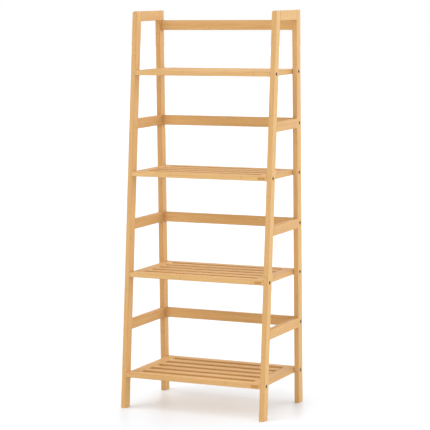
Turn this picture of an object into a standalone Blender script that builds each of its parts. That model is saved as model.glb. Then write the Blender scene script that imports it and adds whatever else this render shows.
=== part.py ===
"""Bamboo ladder shelf: two leaning side frames, four slatted shelves and four back rails.

Every board is planed bamboo. The rails of a side frame are tenoned and glued into its two legs, and
the slats of a shelf into the shelf's end rails. Shelves and back rails are bolted between the two
frames with black socket-head bolts, which sit in counterbored holes in the outer faces of the legs.

Frame: metres, +Z up, +X to the right as seen from the front, +Y to the back. The origin is on the
floor, in the middle of the width and of the floor depth.
"""

from math import cos, hypot, pi

import bmesh
import bpy

# Driving dimensions of the whole shelf.
HEIGHT = 1.200
WIDTH = 0.476
FLOOR_DEPTH = 0.298
TOP_DEPTH = 0.178
LEAN = (FLOOR_DEPTH - TOP_DEPTH) / HEIGHT

# Boards: one thickness throughout, one width for all but the end rails of the shelves.
THICK = 0.015
WIDE = 0.030
END_RAIL_WIDE = 0.035
GLUE_GAP = 0.0003

# Tenons keep an even shoulder all round, and stop short of the bolts.
SHOULDER = 0.005
TENON_LENGTH = 0.010
SQUARE_TO_AXIS = 0.9

# Heights: shelf tops above the floor, and the rails halfway between them.
LOWEST_SHELF_TOP = 0.109
SHELF_PITCH = 0.3048
RAIL_TOP_ABOVE_SHELF = 0.157

SHELF_NAMES = ("bottom", "lower", "upper", "top")
SLAT_COUNTS = (4, 4, 3, 3)
RAIL_NAMES = ("lower", "middle", "upper")
SIDES = {"left": -1, "right": 1}

# Back rails stand a little inside the legs' rear faces.
BACK_RAIL_INSET = 0.004

# Bolts: a round head with a hexagon socket, sunk in the leg, and a shank that enters the rail's end.
BOLT_FACETS = 12
HEAD_RADIUS = 0.0050
HEAD_LENGTH = 0.0040
HEAD_SUNK = 0.0008
SHANK_RADIUS = 0.0030
SHANK_LENGTH = 0.0330
SOCKET_RADIUS = 0.0029
SOCKET_DEPTH = 0.0022
BOLT_CLEARANCE = 0.0005
HOLE_SPARE = 0.0010

# Places that follow from the sizes above.
LEG_DEPTH = WIDE * hypot(1, LEAN)
REAR_FACE = FLOOR_DEPTH / 2
OUTER_FACE = WIDTH / 2
INNER_FACE = OUTER_FACE - THICK
REAR_LEG_FRONT = REAR_FACE - WIDE
SHELF_HALF = INNER_FACE - GLUE_GAP
SLAT_HALF = SHELF_HALF - END_RAIL_WIDE - GLUE_GAP
CUTTER_OVERRUN = 0.002

BAMBOO = ("bamboo", (0.66, 0.42, 0.20, 1.0), 0.45, 0.0)
BLACK_STEEL = ("black_steel", (0.02, 0.02, 0.022, 1.0), 0.40, 1.0)


def front_face(z):
    """Y of the front legs' leaning front face at height z."""
    return -FLOOR_DEPTH / 2 + LEAN * z


def clear_scene():
    """Remove every object, so that the script starts from nothing."""
    for old in list(bpy.data.objects):
        bpy.data.objects.remove(old, do_unlink=True)


def new_collection(name):
    """Make a collection and hang it in the scene."""
    collection = bpy.data.collections.new(name)
    bpy.context.scene.collection.children.link(collection)
    return collection


def make_material(name, colour, roughness, metallic):
    """A Principled material with one colour, roughness and metallic value."""
    material = bpy.data.materials.new(name)
    material.use_nodes = True
    shader = material.node_tree.nodes["Principled BSDF"]
    shader.inputs["Base Color"].default_value = colour
    shader.inputs["Roughness"].default_value = roughness
    shader.inputs["Metallic"].default_value = metallic
    material.diffuse_color = colour
    return material


def box_mesh(low, high, lean_front=0.0, lean_back=0.0):
    """A box between two corners, whose front and back faces may lean with height."""
    bm = bmesh.new()
    bmesh.ops.create_cube(bm, size=1.0)
    size = [b - a for a, b in zip(low, high)]
    bmesh.ops.scale(bm, vec=size, verts=bm.verts)
    for vert in bm.verts:
        lean = lean_front if vert.co.y < 0 else lean_back
        vert.co.y += lean * vert.co.z
    return bm


def add_tenons(bm, axis):
    """Draw a tenon with even shoulders out of both end faces along X (0) or Y (1)."""
    ends = [face for face in bm.faces if abs(face.normal[axis]) > SQUARE_TO_AXIS]
    bmesh.ops.inset_individual(bm, faces=ends, thickness=SHOULDER, use_even_offset=True)
    for face in ends:
        step = [0.0, 0.0, 0.0]
        step[axis] = TENON_LENGTH if face.normal[axis] > 0 else -TENON_LENGTH
        tip = bmesh.ops.extrude_discrete_faces(bm, faces=[face])["faces"][0]
        bmesh.ops.translate(bm, vec=step, verts=tip.verts)


def place(bm, name, centre, collection, material=None):
    """Turn a bmesh into an object at a place, in a collection."""
    bm.normal_update()
    mesh = bpy.data.meshes.new(name)
    bm.to_mesh(mesh)
    bm.free()
    obj = bpy.data.objects.new(name, mesh)
    obj.location = centre
    collection.objects.link(obj)
    if material:
        mesh.materials.append(material)
    else:
        obj.hide_render = True
        obj.display_type = "WIRE"
    return obj


def board(name, low, high, tenons=None, lean_front=0.0, lean_back=0.0):
    """A bamboo board between two corners, with tenons along an axis where it has them."""
    bm = box_mesh(low, high, lean_front, lean_back)
    if tenons is not None:
        bm.normal_update()
        add_tenons(bm, tenons)
    centre = [(a + b) / 2 for a, b in zip(low, high)]
    return place(bm, name, centre, parts, bamboo)


def cut(target, cutter):
    """Take one cutter's volume out of a board."""
    modifier = target.modifiers.new(cutter.name, "BOOLEAN")
    modifier.operation = "DIFFERENCE"
    modifier.solver = "EXACT"
    modifier.object = cutter


def cut_mortises(target, pockets):
    """Cut pockets, each given as low corner, high corner and lean, with one cutter for the board."""
    joined = bmesh.new()
    for low, high, lean in pockets:
        pocket = box_mesh(low, high, lean, lean)
        centre = [(a + b) / 2 for a, b in zip(low, high)]
        bmesh.ops.translate(pocket, vec=centre, verts=pocket.verts)
        piece = bpy.data.meshes.new("pocket")
        pocket.to_mesh(piece)
        pocket.free()
        joined.from_mesh(piece)
        bpy.data.meshes.remove(piece)
    cutter = place(joined, target.name + "_mortises", (0, 0, 0), cutters)
    cut(target, cutter)


def bolt_mesh(grow, socket):
    """A bolt along +Z with its head's top at the origin, or a clearance volume grown around it."""
    seat = -HEAD_LENGTH - grow
    tip = -HEAD_LENGTH - SHANK_LENGTH
    rim = 0.0
    if grow:
        tip -= HOLE_SPARE
        rim = HEAD_SUNK + CUTTER_OVERRUN
    bm = bmesh.new()
    bmesh.ops.create_cone(
        bm,
        cap_ends=True,
        segments=BOLT_FACETS,
        radius1=SHANK_RADIUS + grow,
        radius2=SHANK_RADIUS + grow,
        depth=seat - tip,
    )
    bmesh.ops.translate(bm, vec=(0, 0, (seat + tip) / 2), verts=bm.verts)
    top = max(bm.faces, key=lambda face: face.calc_center_median().z)
    top = bmesh.ops.extrude_discrete_faces(bm, faces=[top])["faces"][0]
    widen = (HEAD_RADIUS + grow) / (SHANK_RADIUS + grow)
    bmesh.ops.scale(bm, vec=(widen, widen, 1), verts=top.verts)
    top = bmesh.ops.extrude_discrete_faces(bm, faces=[top])["faces"][0]
    bmesh.ops.translate(bm, vec=(0, 0, rim - seat), verts=top.verts)
    if socket:
        sink_socket(bm, top)
    return bm


def sink_socket(bm, top):
    """Sink a hexagon socket into the head: every second corner of the ring moves to a flat."""
    top = bmesh.ops.extrude_discrete_faces(bm, faces=[top])["faces"][0]
    flat = cos(pi / 6)
    for index, vert in enumerate(top.verts):
        reach = SOCKET_RADIUS if index % 2 == 0 else SOCKET_RADIUS * flat
        vert.co.xy = vert.co.xy.normalized() * reach
    top = bmesh.ops.extrude_discrete_faces(bm, faces=[top])["faces"][0]
    bmesh.ops.translate(bm, vec=(0, 0, -SOCKET_DEPTH), verts=top.verts)


def bolt_joint(name, side, y, z, leg, rail, with_bolt):
    """Bore the leg and the rail's end for one bolt, and put the bolt in if it has a node."""
    sign = SIDES[side]
    location = (sign * (OUTER_FACE - HEAD_SUNK), y, z)
    turn = (0, sign * pi / 2, 0)
    bore = place(bolt_mesh(BOLT_CLEARANCE, False), name + "_bore", location, cutters)
    bore.rotation_euler = turn
    cut(leg, bore)
    cut(rail, bore)
    if with_bolt:
        bolt = place(bolt_mesh(0.0, True), name, location, parts, black_steel)
        bolt.rotation_euler = turn


def tenon_pocket(low, high, lean=0.0):
    """The pocket that clears a tenon lying between two corners, by the glue gap all round."""
    return [a - GLUE_GAP for a in low], [b + GLUE_GAP for b in high], lean


def side_frame(side):
    """Two legs, a top rail and three lower rails, tenoned together in one plane."""
    sign = SIDES[side]
    x_low, x_high = sorted((sign * INNER_FACE, sign * OUTER_FACE))
    half_way = front_face(HEIGHT / 2)
    front_leg = board(
        side + "_front_leg",
        (x_low, half_way, 0),
        (x_high, half_way + LEG_DEPTH, HEIGHT),
        None,
        LEAN,
        LEAN,
    )
    rear_leg = board(side + "_rear_leg", (x_low, REAR_LEG_FRONT, 0), (x_high, REAR_FACE, HEIGHT))

    rail_tops = {side + "_top_rail": HEIGHT}
    for index, level in enumerate(RAIL_NAMES):
        rail_tops[side + "_" + level + "_side_rail"] = side_rail_top(index)

    front_pockets = []
    rear_pockets = []
    for name, top in rail_tops.items():
        middle = top - WIDE / 2
        start = front_face(middle) + LEG_DEPTH + GLUE_GAP
        end = REAR_LEG_FRONT - GLUE_GAP
        board(name, (x_low, start, top - WIDE), (x_high, end, top), 1, LEAN, 0.0)
        tenon_low = (x_low + SHOULDER, start - TENON_LENGTH, top - WIDE + SHOULDER)
        tenon_high = (x_high - SHOULDER, start + CUTTER_OVERRUN, top - SHOULDER)
        front_pockets.append(tenon_pocket(tenon_low, tenon_high, LEAN))
        tenon_low = (x_low + SHOULDER, end - CUTTER_OVERRUN, top - WIDE + SHOULDER)
        tenon_high = (x_high - SHOULDER, end + TENON_LENGTH, top - SHOULDER)
        rear_pockets.append(tenon_pocket(tenon_low, tenon_high))
    cut_mortises(front_leg, front_pockets)
    cut_mortises(rear_leg, rear_pockets)
    return {"front": front_leg, "rear": rear_leg}


def side_rail_top(index):
    """Top of the side rails and back rails above shelf number index."""
    return LOWEST_SHELF_TOP + index * SHELF_PITCH + RAIL_TOP_ABOVE_SHELF


def shelf(level, name, slat_count):
    """A slatted shelf: front and rear rails, two end rails between them, and slats between those."""
    top = LOWEST_SHELF_TOP + level * SHELF_PITCH
    bottom = top - THICK
    middle = top - THICK / 2
    front = front_face(middle)
    prefix = name + "_shelf_"
    rails = {
        "front": board(
            prefix + "front_rail", (-SHELF_HALF, front, bottom), (SHELF_HALF, front + WIDE, top)
        ),
        "rear": board(
            prefix + "rear_rail", (-SHELF_HALF, REAR_LEG_FRONT, bottom), (SHELF_HALF, REAR_FACE, top)
        ),
    }

    start = front + WIDE + GLUE_GAP
    end = REAR_LEG_FRONT - GLUE_GAP
    spacing = (end - start - slat_count * WIDE) / (slat_count + 1)
    slat_fronts = [start + spacing + index * (WIDE + spacing) for index in range(slat_count)]
    for index, slat_front in enumerate(slat_fronts):
        board(
            prefix + "slat_" + str(index + 1),
            (-SLAT_HALF, slat_front, bottom),
            (SLAT_HALF, slat_front + WIDE, top),
            0,
        )

    front_pockets = []
    rear_pockets = []
    for side, sign in SIDES.items():
        x_low, x_high = sorted((sign * SHELF_HALF, sign * (SHELF_HALF - END_RAIL_WIDE)))
        end_rail = board(prefix + side + "_end_rail", (x_low, start, bottom), (x_high, end, top), 1)
        across = (x_low + SHOULDER, x_high - SHOULDER)
        upright = (bottom + SHOULDER, top - SHOULDER)
        front_pockets.append(
            tenon_pocket(
                (across[0], start - TENON_LENGTH, upright[0]),
                (across[1], start + CUTTER_OVERRUN, upright[1]),
            )
        )
        rear_pockets.append(
            tenon_pocket(
                (across[0], end - CUTTER_OVERRUN, upright[0]),
                (across[1], end + TENON_LENGTH, upright[1]),
            )
        )
        reach = sorted((sign * (SLAT_HALF - CUTTER_OVERRUN), sign * (SLAT_HALF + TENON_LENGTH)))
        slat_pockets = [
            tenon_pocket(
                (reach[0], slat_front + SHOULDER, upright[0]),
                (reach[1], slat_front + WIDE - SHOULDER, upright[1]),
            )
            for slat_front in slat_fronts
        ]
        cut_mortises(end_rail, slat_pockets)
    cut_mortises(rails["front"], front_pockets)
    cut_mortises(rails["rear"], rear_pockets)

    for side, legs in frames.items():
        bolt_joint(
            side + "_" + name + "_shelf_front_bolt",
            side,
            front + WIDE / 2,
            middle,
            legs["front"],
            rails["front"],
            False,
        )
        bolt_joint(
            side + "_" + name + "_shelf_rear_bolt",
            side,
            REAR_FACE - WIDE / 2,
            middle,
            legs["rear"],
            rails["rear"],
            True,
        )


def back_rail(name, top):
    """A board on edge between the two rear legs."""
    back = REAR_FACE - BACK_RAIL_INSET
    return board(name, (-SHELF_HALF, back - THICK, top - WIDE), (SHELF_HALF, back, top))


clear_scene()
parts = new_collection("ladder_shelf")
cutters = new_collection("cutters")
bamboo = make_material(*BAMBOO)
black_steel = make_material(*BLACK_STEEL)

frames = {side: side_frame(side) for side in SIDES}

for level, (shelf_name, count) in enumerate(zip(SHELF_NAMES, SLAT_COUNTS)):
    shelf(level, shelf_name, count)

# The top back rail hangs level with the underside of the side frames' top rails, on hidden dowels.
back_rail("top_back_rail", HEIGHT - WIDE)
for rail_index, rail_level in enumerate(RAIL_NAMES):
    rail_name = rail_level + "_back_rail"
    rail_top = side_rail_top(rail_index)
    rail_board = back_rail(rail_name, rail_top)
    for frame_side, frame_legs in frames.items():
        bolt_joint(
            frame_side + "_" + rail_name + "_bolt",
            frame_side,
            REAR_FACE - BACK_RAIL_INSET - THICK / 2,
            rail_top - WIDE / 2,
            frame_legs["rear"],
            rail_board,
            True,
        )
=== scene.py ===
"""Bamboo ladder shelf: its looks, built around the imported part.

Two side frames of planed and lacquered bamboo, with leaning front legs, carry four slatted shelves
and four back rails. Black socket-head screws in counterbored holes hold them. Sizes are in metres,
and places come from the CAD nodes.
"""

import math
import random

import bmesh
import bpy
from mathutils import Matrix, Vector


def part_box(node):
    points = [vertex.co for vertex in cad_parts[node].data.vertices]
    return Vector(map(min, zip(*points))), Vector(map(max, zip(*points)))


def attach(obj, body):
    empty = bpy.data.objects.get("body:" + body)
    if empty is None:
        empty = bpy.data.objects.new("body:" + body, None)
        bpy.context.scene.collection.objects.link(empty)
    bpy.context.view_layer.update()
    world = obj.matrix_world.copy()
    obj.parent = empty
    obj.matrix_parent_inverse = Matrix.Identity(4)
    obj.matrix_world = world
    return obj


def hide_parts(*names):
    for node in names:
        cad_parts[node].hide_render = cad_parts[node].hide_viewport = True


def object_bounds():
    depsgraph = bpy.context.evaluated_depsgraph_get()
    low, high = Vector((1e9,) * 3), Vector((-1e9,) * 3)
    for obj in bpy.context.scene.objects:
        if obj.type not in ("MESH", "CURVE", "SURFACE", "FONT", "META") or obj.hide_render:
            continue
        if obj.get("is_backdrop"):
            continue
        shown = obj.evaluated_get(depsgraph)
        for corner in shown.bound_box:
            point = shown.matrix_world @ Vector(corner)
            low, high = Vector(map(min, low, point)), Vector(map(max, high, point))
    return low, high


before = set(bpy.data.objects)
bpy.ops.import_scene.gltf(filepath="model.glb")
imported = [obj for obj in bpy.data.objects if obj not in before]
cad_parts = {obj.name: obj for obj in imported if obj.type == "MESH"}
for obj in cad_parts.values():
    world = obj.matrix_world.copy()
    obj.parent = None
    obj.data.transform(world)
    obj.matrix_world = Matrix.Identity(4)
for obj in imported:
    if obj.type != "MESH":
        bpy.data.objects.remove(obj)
cad_low, cad_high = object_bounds()

# Legs -----------------------------------------------------------------------------------------
# Each side frame has a leaning front leg and an upright rear leg. A leg is one board of bamboo
# strips glued side by side, planed to 15 x 30 mm, sanded round at its edges and clear lacquered.
# Its outer face is counterbored for the screws that hold the shelves and the back rails.

SIDES = {"left": -1, "right": 1}

# How far the front legs lean back for each metre of height.
LEAN = 0.1

# The slats in each shelf, and the back rails that are screwed on.
SHELVES = {"bottom": 4, "lower": 4, "upper": 3, "top": 3}
RAIL_LEVELS = ("lower", "middle", "upper")

# Paleness of a board's broad faces and of its narrow sides, from 0 for honey to 1 for cream. It
# holds painted shade besides the board's own tone: narrow sides are darker for the shade between
# the parts, and the rear legs, further back, are darker than the front ones.
LEG_PALENESS = {"front": (0.56, 0.44), "rear": (0.38, 0.27)}

ROUNDING = 0.0012
ROUNDING_STEPS = 3
TOP_CORNER = 0.0075
TOP_CORNER_STEPS = 6

# Edges that turn by more than this are sanded round.
SHARP = math.radians(45)

# How squarely a face looks along an axis, as a cosine, to be flat, an end or a narrow side.
FLAT = 0.999
END = 0.9
NARROW_SIDE = 0.7

# Points closer than SKIN to a board's face are on it, and cuts merge points within CUT_MERGE.
SKIN = 0.00001
CUT_MERGE = 0.000001

BORE_RADIUS = 0.0055
BORE_DEPTH = 0.0053
BORE_PATCH = 0.0264
BORE_MARGIN = 0.0060
BORE_CUTS = 7
RIM_CHAMFER = 0.0004

STRIP_WIDTH = 0.0060
GLUE_LINE = 0.00018
CULM_NODE_SPACING = 0.235
CULM_NODE_WIDTH = 0.0030
STREAK_LENGTH = 0.120
STREAK_WIDTH = 0.0028
FIBRE_LENGTH = 0.045
FIBRE_WIDTH = 0.0007
LACQUER_RIPPLE = 0.030
STRIP_CONTRAST = 0.25
BOARD_CONTRAST = 0.08
BOARD_NUMBERS = 100

shade = random.Random(11)


def linear(hex_colour):
    """The linear RGBA of an sRGB hex colour."""
    channels = [int(hex_colour[place : place + 2], 16) / 255 for place in (1, 3, 5)]
    curved = [((c + 0.055) / 1.055) ** 2.4 if c > 0.04045 else c / 12.92 for c in channels]
    return (*curved, 1.0)


def add_node(tree, kind, inputs=None, **settings):
    """Add a node with its settings. An input given as a socket is linked, any other is set."""
    added = tree.nodes.new(kind)
    for name, value in settings.items():
        setattr(added, name, value)
    for name, value in (inputs or {}).items():
        if isinstance(value, bpy.types.NodeSocket):
            tree.links.new(value, added.inputs[name])
        else:
            added.inputs[name].default_value = value
    return added


def new_material(name):
    """A material and its empty node tree."""
    material = bpy.data.materials.new(name)
    material.use_nodes = True
    material.node_tree.nodes.clear()
    return material, material.node_tree


def lacquered_bamboo():
    """Side-pressed bamboo under satin lacquer: long strips of slightly different tone, hair-fine
    fibres along them, a faint darker band where a strip crosses a joint of the culm, and brown
    end grain. Grain attribute: X runs along the board, Y across its strips, Z through them."""
    material, tree = new_material("lacquered_side_pressed_bamboo")
    grain = add_node(tree, "ShaderNodeAttribute", attribute_name="grain").outputs["Vector"]
    board = add_node(tree, "ShaderNodeAttribute", attribute_name="board").outputs["Fac"]
    pale = add_node(tree, "ShaderNodeAttribute", attribute_name="pale").outputs["Fac"]
    edge = add_node(tree, "ShaderNodeAttribute", attribute_name="edge").outputs["Fac"]
    end_grain = add_node(tree, "ShaderNodeAttribute", attribute_name="end_grain").outputs["Fac"]
    burnt = add_node(tree, "ShaderNodeAttribute", attribute_name="burnt").outputs["Fac"]
    place = add_node(tree, "ShaderNodeSeparateXYZ", {"Vector": grain}).outputs

    # Which strip a point is on, how far it is from the glue line, and a chance value per strip.
    across = add_node(
        tree, "ShaderNodeMath", {0: place["Y"], 1: STRIP_WIDTH}, operation="DIVIDE"
    ).outputs[0]
    strip = add_node(tree, "ShaderNodeMath", {0: across}, operation="FLOOR").outputs[0]
    strip_board = add_node(tree, "ShaderNodeCombineXYZ", {"X": strip, "Y": board}).outputs[0]
    chance = add_node(
        tree, "ShaderNodeTexWhiteNoise", {"Vector": strip_board}, noise_dimensions="3D"
    ).outputs["Value"]
    from_line = add_node(
        tree, "ShaderNodeMath", {0: across, 1: 0.5}, operation="PINGPONG"
    ).outputs[0]
    glue_line = add_node(
        tree,
        "ShaderNodeMapRange",
        {"Value": from_line, "From Max": GLUE_LINE / STRIP_WIDTH, "To Min": 1.0, "To Max": 0.0},
        interpolation_type="SMOOTHSTEP",
    ).outputs["Result"]

    # Fibres and broader streaks: noise drawn out along the board.
    fibre = add_node(
        tree,
        "ShaderNodeMapping",
        {"Vector": grain, "Scale": (1 / FIBRE_LENGTH, 1 / FIBRE_WIDTH, 1 / FIBRE_WIDTH)},
    ).outputs[0]
    fibre = add_node(
        tree,
        "ShaderNodeTexNoise",
        {"Vector": fibre, "W": board, "Scale": 1.0, "Detail": 3.0, "Roughness": 0.6},
        noise_dimensions="4D",
    ).outputs["Fac"]
    streak = add_node(
        tree,
        "ShaderNodeMapping",
        {"Vector": grain, "Scale": (1 / STREAK_LENGTH, 1 / STREAK_WIDTH, 1 / STREAK_WIDTH)},
    ).outputs[0]
    streak = add_node(
        tree,
        "ShaderNodeTexNoise",
        {"Vector": streak, "W": board, "Scale": 1.0, "Detail": 2.0},
        noise_dimensions="4D",
    ).outputs["Fac"]

    # Joints of the culm: one band per strip and spacing, shifted by chance from strip to strip.
    shifted = add_node(
        tree, "ShaderNodeMath", {0: chance, 1: CULM_NODE_SPACING}, operation="MULTIPLY"
    ).outputs[0]
    along = add_node(
        tree,
        "ShaderNodeMath",
        {0: streak, 1: CULM_NODE_WIDTH, 2: place["X"]},
        operation="MULTIPLY_ADD",
    ).outputs[0]
    along = add_node(tree, "ShaderNodeMath", {0: along, 1: shifted}, operation="ADD").outputs[0]
    from_joint = add_node(
        tree, "ShaderNodeMath", {0: along, 1: CULM_NODE_SPACING / 2}, operation="PINGPONG"
    ).outputs[0]
    joint = add_node(
        tree,
        "ShaderNodeMapRange",
        {"Value": from_joint, "From Max": CULM_NODE_WIDTH, "To Min": 1.0, "To Max": 0.0},
        interpolation_type="SMOOTHSTEP",
    ).outputs["Result"]

    # Colour, from the strip's own tone to the marks on it. The paleness carries painted shade too,
    # and a paleness below 0, painted shade on the sides of slats and rear rails, is darker than
    # honey.
    paleness = add_node(
        tree, "ShaderNodeMath", {0: chance, 1: STRIP_CONTRAST, 2: pale}, operation="MULTIPLY_ADD"
    ).outputs[0]
    tone = add_node(
        tree,
        "ShaderNodeMix",
        {"Factor": paleness, "A": linear("#C79A64"), "B": linear("#E4BC81")},
        data_type="RGBA",
        clamp_factor=False,
    ).outputs["Result"]
    layers = (
        (streak, 0.35, 0.75, 0.55, "#C29154"),
        (fibre, 0.50, 0.80, 0.45, "#B68447"),
        (glue_line, 0.0, 1.0, 0.25, "#9D713B"),
        (joint, 0.0, 1.0, 0.30, "#AC7B3E"),
        # Painted shade: the rounded edges are darker, which deepens the lines between the slats.
        (edge, 0.0, 1.0, 0.30, "#B38347"),
        (end_grain, 0.0, 1.0, 0.55, "#9C713D"),
        (burnt, 0.0, 1.0, 0.40, "#96581A"),
    )
    for amount, start, full, most, colour in layers:
        share = add_node(
            tree,
            "ShaderNodeMapRange",
            {"Value": amount, "From Min": start, "From Max": full, "To Max": most},
        ).outputs["Result"]
        tone = add_node(
            tree,
            "ShaderNodeMix",
            {"Factor": share, "A": tone, "B": linear(colour)},
            data_type="RGBA",
        ).outputs["Result"]

    # The lacquer is a little uneven, and the fibres show through it as the finest relief.
    ripple = add_node(
        tree,
        "ShaderNodeTexNoise",
        {"Vector": grain, "Scale": 1 / LACQUER_RIPPLE, "Detail": 2.0},
        noise_dimensions="3D",
    ).outputs["Fac"]
    roughness = add_node(
        tree, "ShaderNodeMapRange", {"Value": ripple, "To Min": 0.50, "To Max": 0.62}
    ).outputs["Result"]
    relief = add_node(
        tree, "ShaderNodeBump", {"Height": fibre, "Strength": 0.25, "Distance": 0.0001}
    ).outputs["Normal"]
    shader = add_node(
        tree,
        "ShaderNodeBsdfPrincipled",
        {
            "Base Color": tone,
            "Roughness": roughness,
            "IOR": 1.50,
            "Specular IOR Level": 0.15,
            "Normal": relief,
        },
    )
    add_node(tree, "ShaderNodeOutputMaterial", {"Surface": shader.outputs["BSDF"]})
    return material


bamboo = lacquered_bamboo()


def round_edges(bm, edges, radius, steps):
    """Round edges off."""
    bmesh.ops.bevel(
        bm,
        geom=edges,
        offset=radius,
        segments=steps,
        profile=0.5,
        affect="EDGES",
        material=-1,
    )


def sawn_board(low, high):
    """A sharp-edged board between two corners."""
    bm = bmesh.new()
    bmesh.ops.create_cube(bm, size=1.0)
    bmesh.ops.scale(bm, vec=high - low, verts=bm.verts)
    bmesh.ops.translate(bm, vec=(low + high) / 2, verts=bm.verts)
    return bm


def smooth_roundings(bm):
    """Shade the rounded edges smooth and the planed faces flat."""
    for face in bm.faces:
        face.smooth = max(abs(part) for part in face.normal) < FLAT


def leg_board(low, high, cut_corner):
    """A leg, sanded round at all its edges and, in front, more so at its top front corner."""
    bm = sawn_board(low, high)
    if cut_corner:
        corner = min(bm.edges, key=lambda edge: sum(v.co.y - v.co.z for v in edge.verts))
        round_edges(bm, [corner], TOP_CORNER, TOP_CORNER_STEPS)
    sharp = [edge for edge in bm.edges if edge.calc_face_angle() > SHARP]
    round_edges(bm, sharp, ROUNDING, ROUNDING_STEPS)
    smooth_roundings(bm)
    return bm


def rail_board(low, high, along):
    """A rail or slat: rounded along its length, and square at the ends that meet other boards."""
    bm = sawn_board(low, high)
    long_edges = [edge for edge in bm.edges if edge.verts[0].co[along] != edge.verts[1].co[along]]
    round_edges(bm, long_edges, ROUNDING, ROUNDING_STEPS)
    smooth_roundings(bm)
    return bm


def lean_back(bm, low, high, only_front=False):
    """Lean a board's front and back with height, or only its front half."""
    centre = (low + high) / 2
    for vert in bm.verts:
        if vert.co.y < centre.y or not only_front:
            vert.co.y += LEAN * (vert.co.z - centre.z)


def finish_board(bm, name, node, low, high, axes, pale, lean=0.0):
    """Write the grain and the tones into the mesh, and make it a piece that stands for its node.
    The axes are those along the board, across its strips and through its thickness. Pale is the
    paleness of its broad faces and that of its narrow sides, which carries painted shade. The
    rounded edges are marked for painted shade too."""
    broad, narrow = pale
    luck = shade.uniform(-BOARD_CONTRAST, BOARD_CONTRAST) - STRIP_CONTRAST / 2
    centre = (low + high) / 2
    half = (high - low) / 2
    number = shade.uniform(0, BOARD_NUMBERS)
    slide = shade.uniform(0, CULM_NODE_SPACING)
    grain = bm.verts.layers.float_vector.new("grain")
    board = bm.verts.layers.float.new("board")
    edge = bm.verts.layers.float.new("edge")
    tone = bm.faces.layers.float.new("pale")
    end_grain = bm.faces.layers.float.new("end_grain")
    for vert in bm.verts:
        local = vert.co - centre
        local.y -= lean * local.z
        vert[grain] = Vector(local[axis] for axis in axes) + Vector((slide, 0, 0))
        vert[board] = number
        # Vertices on the rounded edges, which the material paints darker as shade.
        vert[edge] = float(all(abs(local[axis]) < half[axis] - SKIN for axis in axes[1:]))
    # Narrow sides take their own paleness, mostly darker: painted shade.
    for face in bm.faces:
        is_side = abs(face.normal[axes[1]]) > NARROW_SIDE
        face[tone] = luck + (narrow if is_side else broad)
        face[end_grain] = float(abs(face.normal[axes[0]]) > END)
    return make_piece(bm, name, node, bamboo)


def make_piece(bm, name, node, material):
    """Turn a bmesh into a piece of the shelf. It stands for its CAD node, where it has one."""
    mesh = bpy.data.meshes.new(name)
    bm.to_mesh(mesh)
    bm.free()
    mesh.materials.append(material)
    piece = bpy.data.objects.new(name, mesh)
    bpy.context.scene.collection.objects.link(piece)
    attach(piece, "root")
    if node:
        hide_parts(node)
    return piece


def face_near(bm, outward, near):
    """The face nearest to a point, of those that look outward."""
    bm.normal_update()
    facing = [face for face in bm.faces if face.normal.dot(outward) > FLAT]
    return min(facing, key=lambda face: (face.calc_center_median() - near).length)


def band_face(bm, axis, start, end, outward, near):
    """Cut a board across at two places, and give the face between them that looks outward."""
    across = Vector((0, 0, 0))
    across[axis] = 1.0
    for place in (start, end):
        bmesh.ops.bisect_plane(
            bm,
            geom=bm.verts[:] + bm.edges[:] + bm.faces[:],
            dist=CUT_MERGE,
            plane_co=across * place,
            plane_no=across,
        )
    return face_near(bm, outward, near)


def sink(bm, face, depth, shrink=1.0):
    """Push a face into the board, making it smaller about its middle on the way."""
    inward = -face.normal * depth
    middle = face.calc_center_median()
    face = bmesh.ops.extrude_discrete_faces(bm, faces=[face])["faces"][0]
    bmesh.ops.scale(
        bm, vec=(shrink,) * 3, space=Matrix.Translation(-middle), verts=face.verts
    )
    bmesh.ops.translate(bm, vec=inward, verts=face.verts)
    return face


def counterbore(bm, sign, y, z):
    """Bore a leg's outer face for a screw's head, with the rim slightly broken."""
    outward = Vector((sign, 0, 0))
    centre = Vector((sign * cad_high.x, y, z))
    face = band_face(bm, 2, z - BORE_PATCH / 2, z + BORE_PATCH / 2, outward, centre)
    bmesh.ops.inset_individual(bm, faces=[face], thickness=BORE_MARGIN)
    # Draw the square rim of the patch into a circle.
    bmesh.ops.bisect_edges(bm, edges=face.edges[:], cuts=BORE_CUTS)
    for vert in face.verts:
        vert.co = centre + (vert.co - centre).normalized() * (BORE_RADIUS + RIM_CHAMFER)
    old = set(bm.faces)
    face = sink(bm, face, RIM_CHAMFER, BORE_RADIUS / (BORE_RADIUS + RIM_CHAMFER))
    face = sink(bm, face, BORE_DEPTH)
    for wall in set(bm.faces) - old:
        wall.smooth = wall is not face


def middle_of(node):
    """The middle of a CAD node's box."""
    low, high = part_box(node)
    return (low + high) / 2


SHELF_RAILS = [
    (end, f"{level}_shelf_{end}_rail", f"{level}_shelf_{end}_bolt")
    for level in SHELVES
    for end in ("front", "rear")
]
BACK_RAILS = [
    ("rear", f"{level}_back_rail", f"{level}_back_rail_bolt") for level in RAIL_LEVELS
]

for side, sign in SIDES.items():
    for end in ("front", "rear"):
        node = f"{side}_{end}_leg"
        low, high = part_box(node)
        lean = LEAN if end == "front" else 0.0
        drop = lean * (high.z - low.z) / 2
        low.y += drop
        high.y -= drop
        bm = leg_board(low, high, end == "front")
        if lean:
            lean_back(bm, low, high)
        for leg_end, rail, bolt in SHELF_RAILS + BACK_RAILS:
            if leg_end == end:
                middle = middle_of(rail)
                counterbore(bm, sign, middle.y, middle.z)
        finish_board(bm, node + "_board", node, low, high, (2, 1, 0), LEG_PALENESS[end], lean)

# Side rails -----------------------------------------------------------------------------------
# Four bamboo rails tie the two legs of each side frame together, one of them level with the tops
# of the legs. They are tenoned and glued, and their front ends are sawn to the lean of the leg.

TENON = 0.010
SHOULDER = 0.005
# Each level's rails have their own paleness, which holds painted shade: the upper rails are darkest
# and the top rails palest.
SIDE_RAIL_PALENESS = {"lower_side": 0.37, "middle_side": 0.29, "upper_side": 0.20, "top": 0.41}

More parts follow.
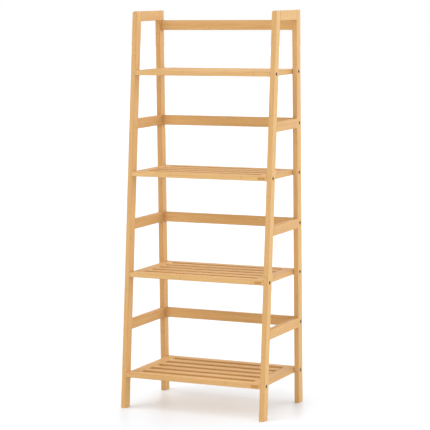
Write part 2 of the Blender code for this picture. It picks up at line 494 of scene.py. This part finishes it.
for side in SIDES:
    for level, paleness in SIDE_RAIL_PALENESS.items():
        node = f"{side}_{level}_rail"
        low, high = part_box(node)
        low.y += TENON + LEAN * ((high.z - low.z) / 2 - SHOULDER)
        high.y -= TENON
        bm = rail_board(low, high, 1)
        lean_back(bm, low, high, only_front=True)
        finish_board(bm, node + "_board", node, low, high, (1, 2, 0), (paleness, paleness))

# Shelves --------------------------------------------------------------------------------------
# Each shelf is a frame of a front rail, a rear rail and two wider end rails, with three or four
# slats tenoned into the end rails. Everything is bamboo, 15 mm thick, and the sides of the slats
# are painted darker as the shade in the gaps. The lower three front rails have a plain bar burnt in
# near their right end.

# These paleness values hold painted shade besides the boards' own tone: the sides of the slats and
# rear rails are dark for the shade in the gaps, and the end rails' sides and the bottom front
# rail's face are darker too.
FRONT_RAIL_PALENESS = {
    "bottom": (0.60, 0.22),
    "lower": (0.75, 0.68),
    "upper": (0.75, 0.66),
    "top": (0.75, 0.58),
}
REAR_RAIL_PALENESS = (0.60, -0.15)
END_RAIL_PALENESS = (0.54, 0.30)
SLAT_PALENESS = (0.70, -0.25)
MARKED = ("bottom", "lower", "upper")
MARK_LENGTH = 0.0215
MARK_HEIGHT = 0.0052
MARK_CORNER = 0.0018
MARK_CORNER_STEPS = 4
MARK_DEPTH = 0.00015
MARK_FROM_END = 0.0165


def burn_mark(bm, low, high):
    """Burn a plain bar with round corners into the front face of a shelf's front rail."""
    middle = Vector((high.x - MARK_FROM_END, low.y, (low.z + high.z) / 2))
    outward = Vector((0, -1, 0))
    margin = (high.z - low.z) / 2 - ROUNDING - MARK_HEIGHT / 2
    reach = MARK_LENGTH / 2 + margin
    burnt = bm.faces.layers.float.new("burnt")
    face = band_face(bm, 0, middle.x - reach, middle.x + reach, outward, middle)
    bmesh.ops.inset_individual(bm, faces=[face], thickness=margin)
    bmesh.ops.bevel(
        bm,
        geom=face.verts[:],
        offset=MARK_CORNER,
        segments=MARK_CORNER_STEPS,
        profile=0.5,
        affect="VERTICES",
        material=-1,
    )
    face = sink(bm, face_near(bm, outward, middle), MARK_DEPTH)
    face[burnt] = 1.0


for level, slat_count in SHELVES.items():
    for end in ("front", "rear"):
        node = f"{level}_shelf_{end}_rail"
        low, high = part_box(node)
        bm = rail_board(low, high, 0)
        paleness = REAR_RAIL_PALENESS
        if end == "front":
            paleness = FRONT_RAIL_PALENESS[level]
            if level in MARKED:
                burn_mark(bm, low, high)
        finish_board(bm, node + "_board", node, low, high, (0, 1, 2), paleness)
    for side in SIDES:
        node = f"{level}_shelf_{side}_end_rail"
        low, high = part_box(node)
        low.y += TENON
        high.y -= TENON
        bm = rail_board(low, high, 1)
        finish_board(bm, node + "_board", node, low, high, (1, 0, 2), END_RAIL_PALENESS)
    for number in range(1, slat_count + 1):
        node = f"{level}_shelf_slat_{number}"
        low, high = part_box(node)
        low.x += TENON
        high.x -= TENON
        bm = rail_board(low, high, 0)
        finish_board(bm, node + "_board", node, low, high, (0, 1, 2), SLAT_PALENESS)

# Back rails -----------------------------------------------------------------------------------
# Four bamboo boards on edge between the rear legs keep things from falling out at the back and
# keep the frames square. The top one is dowelled, and the others are screwed.

BACK_RAIL_PALENESS = (0.60, 0.60)

for level in ("lower", "middle", "upper", "top"):
    node = f"{level}_back_rail"
    low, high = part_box(node)
    bm = rail_board(low, high, 0)
    finish_board(bm, node + "_board", node, low, high, (0, 2, 1), BACK_RAIL_PALENESS)

# Screws ---------------------------------------------------------------------------------------
# Socket-head furniture screws of black-oxide steel, with a 5 mm hexagon socket. They sit just
# under the legs' outer faces and run into the ends of the shelves' rails and the back rails.

HEAD_RADIUS = 0.0050
HEAD_LENGTH = 0.0040
HEAD_SUNK = 0.0008
HEAD_ROUNDING = 0.0006
HEAD_SIDES = 48
SHANK_RADIUS = 0.0030
SHANK_LENGTH = 0.0330
SOCKET_FLATS = 0.0050
SOCKET_DEPTH = 0.0022
SOCKET_CHAMFER = 0.0003
STEEL_GRAIN = 0.0008


def black_oxide_steel():
    """Turned steel under black oxide: near black, with a dull oily sheen and a faint mottle, which
    is drawn coarser than it is so that it shows."""
    material, tree = new_material("black_oxide_steel")
    here = add_node(tree, "ShaderNodeTexCoord").outputs["Object"]
    mottle = add_node(
        tree, "ShaderNodeTexNoise", {"Vector": here, "Scale": 1 / STEEL_GRAIN, "Detail": 2.0}
    ).outputs["Fac"]
    colour = add_node(
        tree,
        "ShaderNodeMix",
        {"Factor": mottle, "A": linear("#1F1E1D"), "B": linear("#35332F")},
        data_type="RGBA",
    ).outputs["Result"]
    roughness = add_node(
        tree, "ShaderNodeMapRange", {"Value": mottle, "To Min": 0.30, "To Max": 0.48}
    ).outputs["Result"]
    shader = add_node(
        tree,
        "ShaderNodeBsdfPrincipled",
        {"Base Color": colour, "Roughness": roughness, "Metallic": 1.0},
    )
    add_node(tree, "ShaderNodeOutputMaterial", {"Surface": shader.outputs["BSDF"]})
    return material


def screw():
    """A screw along +Z, with the top of its head at the origin."""
    bm = bmesh.new()
    bmesh.ops.create_cone(
        bm,
        cap_ends=True,
        segments=HEAD_SIDES,
        radius1=HEAD_RADIUS,
        radius2=HEAD_RADIUS,
        depth=HEAD_LENGTH,
    )
    bmesh.ops.translate(bm, vec=(0, 0, -HEAD_LENGTH / 2), verts=bm.verts)
    bm.normal_update()
    under = min(bm.faces, key=lambda face: face.calc_center_median().z)
    under = sink(bm, under, 0.0, SHANK_RADIUS / HEAD_RADIUS)
    sink(bm, under, -SHANK_LENGTH)
    top = max(bm.faces, key=lambda face: face.calc_center_median().z)
    round_edges(bm, top.edges[:], HEAD_ROUNDING, ROUNDING_STEPS)
    top = max(bm.faces, key=lambda face: face.calc_center_median().z)
    # Draw the round top into the hexagon of the socket, and sink it with a chamfered rim.
    socket = bmesh.ops.extrude_discrete_faces(bm, faces=[top])["faces"][0]
    for vert in socket.verts:
        angle = math.atan2(vert.co.y, vert.co.x) % (math.pi / 3) - math.pi / 6
        vert.co.xy = vert.co.xy.normalized() * (SOCKET_FLATS / 2 / math.cos(angle))
    wide = 1 + 2 * SOCKET_CHAMFER / SOCKET_FLATS
    bmesh.ops.scale(bm, vec=(wide, wide, 1), verts=socket.verts)
    socket = sink(bm, socket, SOCKET_CHAMFER, 1 / wide)
    sink(bm, socket, SOCKET_DEPTH)
    for face in bm.faces:
        face.smooth = abs(face.normal.z) < FLAT
    return bm


oxide = black_oxide_steel()

for side, sign in SIDES.items():
    for leg_end, rail, bolt in SHELF_RAILS + BACK_RAILS:
        middle = middle_of(rail)
        bm = screw()
        turn = Matrix.Rotation(sign * math.pi / 2, 4, "Y")
        place = Matrix.Translation((sign * (cad_high.x - HEAD_SUNK), middle.y, middle.z))
        bmesh.ops.transform(bm, matrix=place @ turn, verts=bm.verts)
        node = f"{side}_{bolt}"
        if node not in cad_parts:
            node = None
        make_piece(bm, f"{side}_{rail}_screw", node, oxide)

# Studio ---------------------------------------------------------------------------------------
# A pale painted floor runs on past every view, and the surround is plain white. Broad soft lamps
# stand all round the shelf, the strongest behind it and the weakest in front.

FLOOR_REACH = 30.0
FLOOR_PATCHES_PER_METRE = 3.0


def pale_floor():
    """Pale painted floor with a low sheen: nearly white, so only soft shadows draw it."""
    material, tree = new_material("pale_painted_floor")
    here = add_node(tree, "ShaderNodeTexCoord").outputs["Object"]
    patch = add_node(
        tree,
        "ShaderNodeTexNoise",
        {"Vector": here, "Scale": FLOOR_PATCHES_PER_METRE, "Detail": 2.0},
    ).outputs["Fac"]
    roughness = add_node(
        tree, "ShaderNodeMapRange", {"Value": patch, "To Min": 0.40, "To Max": 0.46}
    ).outputs["Result"]
    shader = add_node(
        tree,
        "ShaderNodeBsdfPrincipled",
        {"Base Color": linear("#EDF3FA"), "Roughness": roughness},
    )
    add_node(tree, "ShaderNodeOutputMaterial", {"Surface": shader.outputs["BSDF"]})
    return material


bm = bmesh.new()
bmesh.ops.create_grid(bm, x_segments=1, y_segments=1, size=FLOOR_REACH)
floor_mesh = bpy.data.meshes.new("floor")
bm.to_mesh(floor_mesh)
bm.free()
floor_mesh.materials.append(pale_floor())
floor = bpy.data.objects.new("floor", floor_mesh)
bpy.context.scene.collection.objects.link(floor)
floor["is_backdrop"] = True

# The surround as lamps: where each broad soft lamp stands, seen from the shelf, and its strength.
SOFT_LAMPS = {
    "behind": ((0.0, 1.0, 0.1), 3.8),
    "right": ((1.0, 0.0, 0.1), 1.0),
    "right_behind": ((1.0, 1.0, 0.2), 3.0),
    "right_front": ((1.0, -1.0, 0.2), 2.4),
    "left": ((-1.0, 0.0, 0.1), 2.4),
    "left_front_above": ((-1.0, -1.0, 1.4), 2.6),
    "front": ((0.0, -1.0, 0.1), 0.5),
    "overhead": ((0.0, 0.0, 1.0), 2.1),
}
LAMP_FALLOFF = 8.0


def studio_surround():
    """White walls, brightest where the soft lamps stand, and plain white to the eye."""
    world = bpy.data.worlds.new("white_studio")
    world.use_nodes = True
    tree = world.node_tree
    tree.nodes.clear()
    view = add_node(tree, "ShaderNodeTexCoord").outputs["Generated"]
    light = 0.0
    for place, strength in SOFT_LAMPS.values():
        facing = add_node(
            tree,
            "ShaderNodeVectorMath",
            {0: view, 1: Vector(place).normalized()},
            operation="DOT_PRODUCT",
        ).outputs["Value"]
        facing = add_node(
            tree, "ShaderNodeMath", {0: facing, 1: 0.0}, operation="MAXIMUM"
        ).outputs[0]
        glow = add_node(
            tree, "ShaderNodeMath", {0: facing, 1: LAMP_FALLOFF}, operation="POWER"
        ).outputs[0]
        light = add_node(
            tree, "ShaderNodeMath", {0: glow, 1: strength, 2: light}, operation="MULTIPLY_ADD"
        ).outputs[0]
    to_eye = add_node(tree, "ShaderNodeLightPath").outputs["Is Camera Ray"]
    shown = add_node(
        tree, "ShaderNodeMix", {"Factor": to_eye, "A": light, "B": 1.0}
    ).outputs["Result"]
    walls = add_node(
        tree, "ShaderNodeBackground", {"Color": linear("#FFFFFF"), "Strength": shown}
    )
    add_node(tree, "ShaderNodeOutputWorld", {"Surface": walls.outputs["Background"]})
    return world


bpy.context.scene.world = studio_surround()
bpy.context.scene.view_settings.view_transform = "Standard"

# Camera ---------------------------------------------------------------------------------------
# The camera stands in front and to the right of the shelf, a little above its top. Its long lens
# looks slightly down at the middle of the shelf.

CAMERA_AZIMUTH = 25.668
CAMERA_RISE = 7.136
CAMERA_ROLL = -0.685
CAMERA_DISTANCE = 5.5889
CAMERA_AIM = (-0.00189, 0.039, 0.58107)
LENS = 153.506
SENSOR_WIDTH = 36.0

camera_data = bpy.data.cameras.new("camera")
camera_data.lens = LENS
camera_data.sensor_width = SENSOR_WIDTH
camera = bpy.data.objects.new("camera", camera_data)
azimuth = math.radians(CAMERA_AZIMUTH)
rise = math.radians(CAMERA_RISE)
back = Vector(
    (math.sin(azimuth) * math.cos(rise), -math.cos(azimuth) * math.cos(rise), math.sin(rise))
)
roll = Matrix.Rotation(math.radians(CAMERA_ROLL), 4, "Z")
camera.matrix_world = (
    Matrix.Translation(Vector(CAMERA_AIM) + back * CAMERA_DISTANCE)
    @ back.to_track_quat("Z", "Y").to_matrix().to_4x4()
    @ roll
)
bpy.context.scene.collection.objects.link(camera)
bpy.context.scene.camera = camera

low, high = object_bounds()
